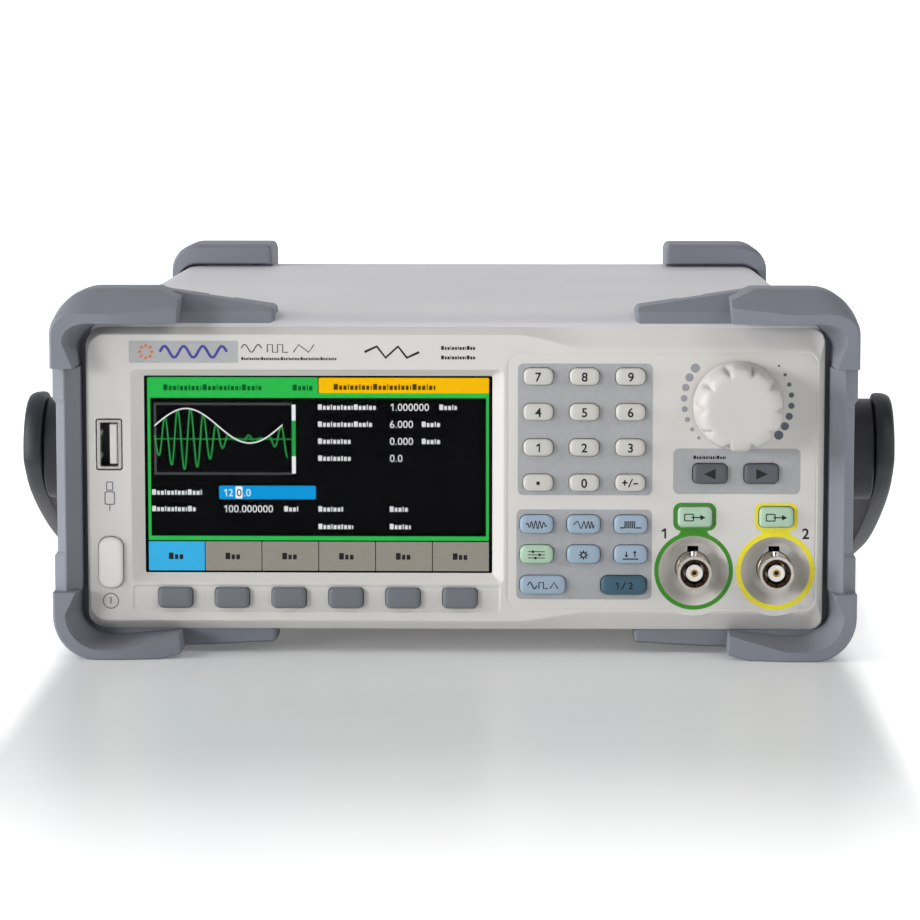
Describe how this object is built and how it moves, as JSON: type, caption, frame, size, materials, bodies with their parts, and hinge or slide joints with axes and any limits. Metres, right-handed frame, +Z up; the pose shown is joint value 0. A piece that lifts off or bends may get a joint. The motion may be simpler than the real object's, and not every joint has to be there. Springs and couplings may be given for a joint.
{
  "type": "bench function generator",
  "caption": "Bench waveform generator with display, soft keys, number pad, dial, coaxial outputs, rubber bumpers and a swinging carrying handle.",
  "frame": {"origin": "on the bench, under the middle of the instrument's bounding box", "axes": "+X to the right seen from the front, +Y from the front panel towards the back, +Z up"},
  "size_m": [0.26, 0.295, 0.105],
  "materials": {
    "panel_plastic": "fine-textured moulded plastic, light warm grey",
    "window_glass": "clear hard-coated display window",
    "lcd_frame": "black display module",
    "silicone_clear": "translucent silicone keypad mat",
    "circuit_board": "green solder mask",
    "plated_steel": "tin-plated steel",
    "nickel_plate": "satin nickel plate",
    "insulator_white": "white socket insulator",
    "case_paint": "light grey powder coat on sheet steel",
    "rear_paint": "light grey powder coat",
    "bumper_rubber": "blue-grey moulded rubber, matt",
    "ribbon_grey": "grey flat cable",
    "black_plastic": "black moulded plastic",
    "screw_steel": "zinc-plated steel",
    "handle_plastic": "charcoal moulded plastic",
    "knob_plastic": "white satin plastic",
    "button_white": "white satin plastic",
    "softkey_rubber": "slate grey silicone",
    "key_ivory": "ivory silicone",
    "key_blue": "pale blue silicone",
    "key_teal": "teal-blue silicone",
    "key_green": "pale green silicone, lit from behind",
    "key_grey": "mid grey silicone"
  },
  "bodies": {
    "instrument": {"front_panel": "panel_plastic", "display_window": "window_glass", "display_module": "lcd_frame", "keypad_mat": "silicone_clear", "front_board": "circuit_board", "encoder_body": "plated_steel", "usb_host_port": "plated_steel", "output_bnc_shells": "nickel_plate", "output_bnc_cores": "insulator_white", "case_cover": "case_paint", "chassis_tray": "case_paint", "rear_panel": "rear_paint", "front_bumper_left": "bumper_rubber", "front_bumper_right": "bumper_rubber", "rear_bumper_left": "bumper_rubber", "rear_bumper_right": "bumper_rubber", "main_board": "circuit_board", "power_supply": "plated_steel", "ribbon_cable": "ribbon_grey", "fan_frame": "black_plastic", "rear_bnc_sockets": "nickel_plate", "mains_inlet": "black_plastic", "rear_data_ports": "plated_steel", "rear_screw_set": "screw_steel", "handle_hubs": "handle_plastic"},
    "handle": {"carry_handle": "handle_plastic"},
    "dial": {"control_knob": "knob_plastic", "encoder_shaft": "plated_steel"},
    "fan": {"fan_rotor": "black_plastic"},
    "softkey_1": {"softkey_1": "softkey_rubber"},
    "softkey_2": {"softkey_2": "softkey_rubber"},
    "softkey_3": {"softkey_3": "softkey_rubber"},
    "softkey_4": {"softkey_4": "softkey_rubber"},
    "softkey_5": {"softkey_5": "softkey_rubber"},
    "softkey_6": {"softkey_6": "softkey_rubber"},
    "key_7": {"key_7": "key_ivory"},
    "key_8": {"key_8": "key_ivory"},
    "key_9": {"key_9": "key_ivory"},
    "key_4": {"key_4": "key_ivory"},
    "key_5": {"key_5": "key_ivory"},
    "key_6": {"key_6": "key_ivory"},
    "key_1": {"key_1": "key_ivory"},
    "key_2": {"key_2": "key_ivory"},
    "key_3": {"key_3": "key_ivory"},
    "key_point": {"key_point": "key_ivory"},
    "key_0": {"key_0": "key_ivory"},
    "key_sign": {"key_sign": "key_ivory"},
    "function_key_1": {"function_key_1": "key_blue"},
    "function_key_2": {"function_key_2": "key_blue"},
    "function_key_3": {"function_key_3": "key_blue"},
    "function_key_4": {"function_key_4": "key_green"},
    "function_key_5": {"function_key_5": "key_blue"},
    "function_key_6": {"function_key_6": "key_blue"},
    "function_key_7": {"function_key_7": "key_blue"},
    "function_key_8": {"function_key_8": "key_teal"},
    "arrow_key_left": {"arrow_key_left": "key_grey"},
    "arrow_key_right": {"arrow_key_right": "key_grey"},
    "output_key_1": {"output_key_1": "key_green"},
    "output_key_2": {"output_key_2": "key_green"},
    "power_button": {"power_button": "button_white"}
  },
  "joints": [
    {"name": "bail_swing", "type": "hinge", "parent": "instrument", "child": "handle", "pos_m": [0, -0.069, 0.0526], "axis": [-1, 0, 0], "range_deg": [0, 310]},
    {"name": "dial_turn", "type": "hinge", "parent": "instrument", "child": "dial", "pos_m": [0.0801, -0.1375, 0.0718], "axis": [0, 1, 0], "continuous": true},
    {"name": "fan_spin", "type": "hinge", "parent": "instrument", "child": "fan", "pos_m": [-0.012, 0.1205, 0.052], "axis": [0, 1, 0], "continuous": true},
    {"name": "softkey_1_press", "type": "slide", "parent": "instrument", "child": "softkey_1", "axis": [0, 1, 0], "range_m": [0, 0.001], "stiffness_N_per_m": 400, "springref_m": -0.001},
    {"name": "softkey_2_press", "type": "slide", "parent": "instrument", "child": "softkey_2", "axis": [0, 1, 0], "range_m": [0, 0.001], "stiffness_N_per_m": 400, "springref_m": -0.001},
    {"name": "softkey_3_press", "type": "slide", "parent": "instrument", "child": "softkey_3", "axis": [0, 1, 0], "range_m": [0, 0.001], "stiffness_N_per_m": 400, "springref_m": -0.001},
    {"name": "softkey_4_press", "type": "slide", "parent": "instrument", "child": "softkey_4", "axis": [0, 1, 0], "range_m": [0, 0.001], "stiffness_N_per_m": 400, "springref_m": -0.001},
    {"name": "softkey_5_press", "type": "slide", "parent": "instrument", "child": "softkey_5", "axis": [0, 1, 0], "range_m": [0, 0.001], "stiffness_N_per_m": 400, "springref_m": -0.001},
    {"name": "softkey_6_press", "type": "slide", "parent": "instrument", "child": "softkey_6", "axis": [0, 1, 0], "range_m": [0, 0.001], "stiffness_N_per_m": 400, "springref_m": -0.001},
    {"name": "key_7_press", "type": "slide", "parent": "instrument", "child": "key_7", "axis": [0, 1, 0], "range_m": [0, 0.001], "stiffness_N_per_m": 400, "springref_m": -0.001},
    {"name": "key_8_press", "type": "slide", "parent": "instrument", "child": "key_8", "axis": [0, 1, 0], "range_m": [0, 0.001], "stiffness_N_per_m": 400, "springref_m": -0.001},
    {"name": "key_9_press", "type": "slide", "parent": "instrument", "child": "key_9", "axis": [0, 1, 0], "range_m": [0, 0.001], "stiffness_N_per_m": 400, "springref_m": -0.001},
    {"name": "key_4_press", "type": "slide", "parent": "instrument", "child": "key_4", "axis": [0, 1, 0], "range_m": [0, 0.001], "stiffness_N_per_m": 400, "springref_m": -0.001},
    {"name": "key_5_press", "type": "slide", "parent": "instrument", "child": "key_5", "axis": [0, 1, 0], "range_m": [0, 0.001], "stiffness_N_per_m": 400, "springref_m": -0.001},
    {"name": "key_6_press", "type": "slide", "parent": "instrument", "child": "key_6", "axis": [0, 1, 0], "range_m": [0, 0.001], "stiffness_N_per_m": 400, "springref_m": -0.001},
    {"name": "key_1_press", "type": "slide", "parent": "instrument", "child": "key_1", "axis": [0, 1, 0], "range_m": [0, 0.001], "stiffness_N_per_m": 400, "springref_m": -0.001},
    {"name": "key_2_press", "type": "slide", "parent": "instrument", "child": "key_2", "axis": [0, 1, 0], "range_m": [0, 0.001], "stiffness_N_per_m": 400, "springref_m": -0.001},
    {"name": "key_3_press", "type": "slide", "parent": "instrument", "child": "key_3", "axis": [0, 1, 0], "range_m": [0, 0.001], "stiffness_N_per_m": 400, "springref_m": -0.001},
    {"name": "key_point_press", "type": "slide", "parent": "instrument", "child": "key_point", "axis": [0, 1, 0], "range_m": [0, 0.001], "stiffness_N_per_m": 400, "springref_m": -0.001},
    {"name": "key_0_press", "type": "slide", "parent": "instrument", "child": "key_0", "axis": [0, 1, 0], "range_m": [0, 0.001], "stiffness_N_per_m": 400, "springref_m": -0.001},
    {"name": "key_sign_press", "type": "slide", "parent": "instrument", "child": "key_sign", "axis": [0, 1, 0], "range_m": [0, 0.001], "stiffness_N_per_m": 400, "springref_m": -0.001},
    {"name": "function_key_1_press", "type": "slide", "parent": "instrument", "child": "function_key_1", "axis": [0, 1, 0], "range_m": [0, 0.001], "stiffness_N_per_m": 400, "springref_m": -0.001},
    {"name": "function_key_2_press", "type": "slide", "parent": "instrument", "child": "function_key_2", "axis": [0, 1, 0], "range_m": [0, 0.001], "stiffness_N_per_m": 400, "springref_m": -0.001},
    {"name": "function_key_3_press", "type": "slide", "parent": "instrument", "child": "function_key_3", "axis": [0, 1, 0], "range_m": [0, 0.001], "stiffness_N_per_m": 400, "springref_m": -0.001},
    {"name": "function_key_4_press", "type": "slide", "parent": "instrument", "child": "function_key_4", "axis": [0, 1, 0], "range_m": [0, 0.001], "stiffness_N_per_m": 400, "springref_m": -0.001},
    {"name": "function_key_5_press", "type": "slide", "parent": "instrument", "child": "function_key_5", "axis": [0, 1, 0], "range_m": [0, 0.001], "stiffness_N_per_m": 400, "springref_m": -0.001},
    {"name": "function_key_6_press", "type": "slide", "parent": "instrument", "child": "function_key_6", "axis": [0, 1, 0], "range_m": [0, 0.001], "stiffness_N_per_m": 400, "springref_m": -0.001},
    {"name": "function_key_7_press", "type": "slide", "parent": "instrument", "child": "function_key_7", "axis": [0, 1, 0], "range_m": [0, 0.001], "stiffness_N_per_m": 400, "springref_m": -0.001},
    {"name": "function_key_8_press", "type": "slide", "parent": "instrument", "child": "function_key_8", "axis": [0, 1, 0], "range_m": [0, 0.001], "stiffness_N_per_m": 400, "springref_m": -0.001},
    {"name": "arrow_key_left_press", "type": "slide", "parent": "instrument", "child": "arrow_key_left", "axis": [0, 1, 0], "range_m": [0, 0.001], "stiffness_N_per_m": 400, "springref_m": -0.001},
    {"name": "arrow_key_right_press", "type": "slide", "parent": "instrument", "child": "arrow_key_right", "axis": [0, 1, 0], "range_m": [0, 0.001], "stiffness_N_per_m": 400, "springref_m": -0.001},
    {"name": "output_key_1_press", "type": "slide", "parent": "instrument", "child": "output_key_1", "axis": [0, 1, 0], "range_m": [0, 0.001], "stiffness_N_per_m": 400, "springref_m": -0.001},
    {"name": "output_key_2_press", "type": "slide", "parent": "instrument", "child": "output_key_2", "axis": [0, 1, 0], "range_m": [0, 0.001], "stiffness_N_per_m": 400, "springref_m": -0.001},
    {"name": "power_button_press", "type": "slide", "parent": "instrument", "child": "power_button", "axis": [0, 1, 0], "range_m": [0, 0.001], "stiffness_N_per_m": 400, "springref_m": -0.001}
  ]
}
